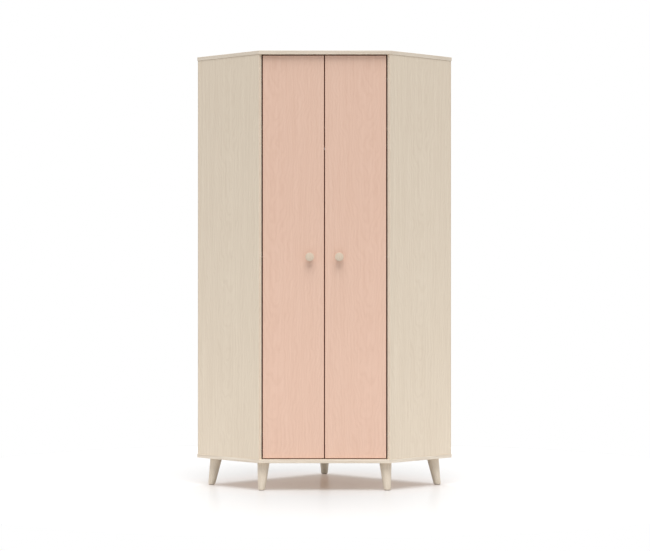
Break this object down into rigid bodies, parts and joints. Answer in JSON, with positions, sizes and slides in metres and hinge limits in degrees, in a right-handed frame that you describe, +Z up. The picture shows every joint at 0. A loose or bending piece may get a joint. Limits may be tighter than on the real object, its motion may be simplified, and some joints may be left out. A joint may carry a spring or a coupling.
{
  "type": "corner wardrobe",
  "caption": "Pentagonal corner wardrobe with hinged doors set into a slanting front, hat shelf and hanging rail, on splayed turned legs.",
  "frame": {"origin": "on the floor, in the middle of the box round the whole wardrobe, knobs included", "axes": "+Z up; the doors face -Y; the room's corner lies towards +Y; +X is the right hand of a person who faces the doors"},
  "size_m": [1.1314, 0.8596, 1.9],
  "materials": {
    "carcass_laminate": "satin laminate, pale bleached oak grain running upright",
    "door_laminate": "satin pink laminate with an embossed ash grain",
    "back_fibreboard": "thin fibreboard, matt",
    "turned_wood": "turned solid wood, clear satin varnish",
    "fitting_steel": "nickel-plated pressed steel",
    "rail_chrome": "polished chrome plate",
    "glide_plastic": "moulded, matt"
  },
  "bodies": {
    "carcass": {"bottom_panel": "carcass_laminate", "top_panel": "carcass_laminate", "left_end_panel": "carcass_laminate", "right_end_panel": "carcass_laminate", "left_rear_stile": "carcass_laminate", "right_rear_stile": "carcass_laminate", "hat_shelf": "carcass_laminate", "left_back_panel": "back_fibreboard", "right_back_panel": "back_fibreboard", "left_front_shelf_support": "fitting_steel", "left_rear_shelf_support": "fitting_steel", "left_stile_shelf_support": "fitting_steel", "right_front_shelf_support": "fitting_steel", "right_rear_shelf_support": "fitting_steel", "right_stile_shelf_support": "fitting_steel", "hanging_rail": "rail_chrome", "left_rail_hanger": "rail_chrome", "right_rail_hanger": "rail_chrome", "left_lower_hinge_arm": "fitting_steel", "left_middle_hinge_arm": "fitting_steel", "left_upper_hinge_arm": "fitting_steel", "right_lower_hinge_arm": "fitting_steel", "right_middle_hinge_arm": "fitting_steel", "right_upper_hinge_arm": "fitting_steel", "left_lower_hinge_plate": "fitting_steel", "left_middle_hinge_plate": "fitting_steel", "left_upper_hinge_plate": "fitting_steel", "right_lower_hinge_plate": "fitting_steel", "right_middle_hinge_plate": "fitting_steel", "right_upper_hinge_plate": "fitting_steel", "left_front_leg": "turned_wood", "right_front_leg": "turned_wood", "left_outer_leg": "turned_wood", "right_outer_leg": "turned_wood", "back_leg": "turned_wood", "left_front_leg_plate": "fitting_steel", "right_front_leg_plate": "fitting_steel", "left_outer_leg_plate": "fitting_steel", "right_outer_leg_plate": "fitting_steel", "back_leg_plate": "fitting_steel", "left_front_glide": "glide_plastic", "right_front_glide": "glide_plastic", "left_outer_glide": "glide_plastic", "right_outer_glide": "glide_plastic", "back_glide": "glide_plastic"},
    "left_door_leaf": {"left_door": "door_laminate", "left_knob": "turned_wood", "left_knob_screw": "fitting_steel", "left_lower_hinge_cup": "fitting_steel", "left_middle_hinge_cup": "fitting_steel", "left_upper_hinge_cup": "fitting_steel"},
    "right_door_leaf": {"right_door": "door_laminate", "right_knob": "turned_wood", "right_knob_screw": "fitting_steel", "right_lower_hinge_cup": "fitting_steel", "right_middle_hinge_cup": "fitting_steel", "right_upper_hinge_cup": "fitting_steel"}
  },
  "joints": [
    {"name": "left_door_hinge", "type": "hinge", "parent": "carcass", "child": "left_door_leaf", "pos_m": [-0.25503, -0.39076, 1.00975], "axis": [0, 0, -1], "range_deg": [0, 100]},
    {"name": "right_door_hinge", "type": "hinge", "parent": "carcass", "child": "right_door_leaf", "pos_m": [0.25503, -0.39076, 1.00975], "axis": [0, 0, 1], "range_deg": [0, 100]}
  ]
}
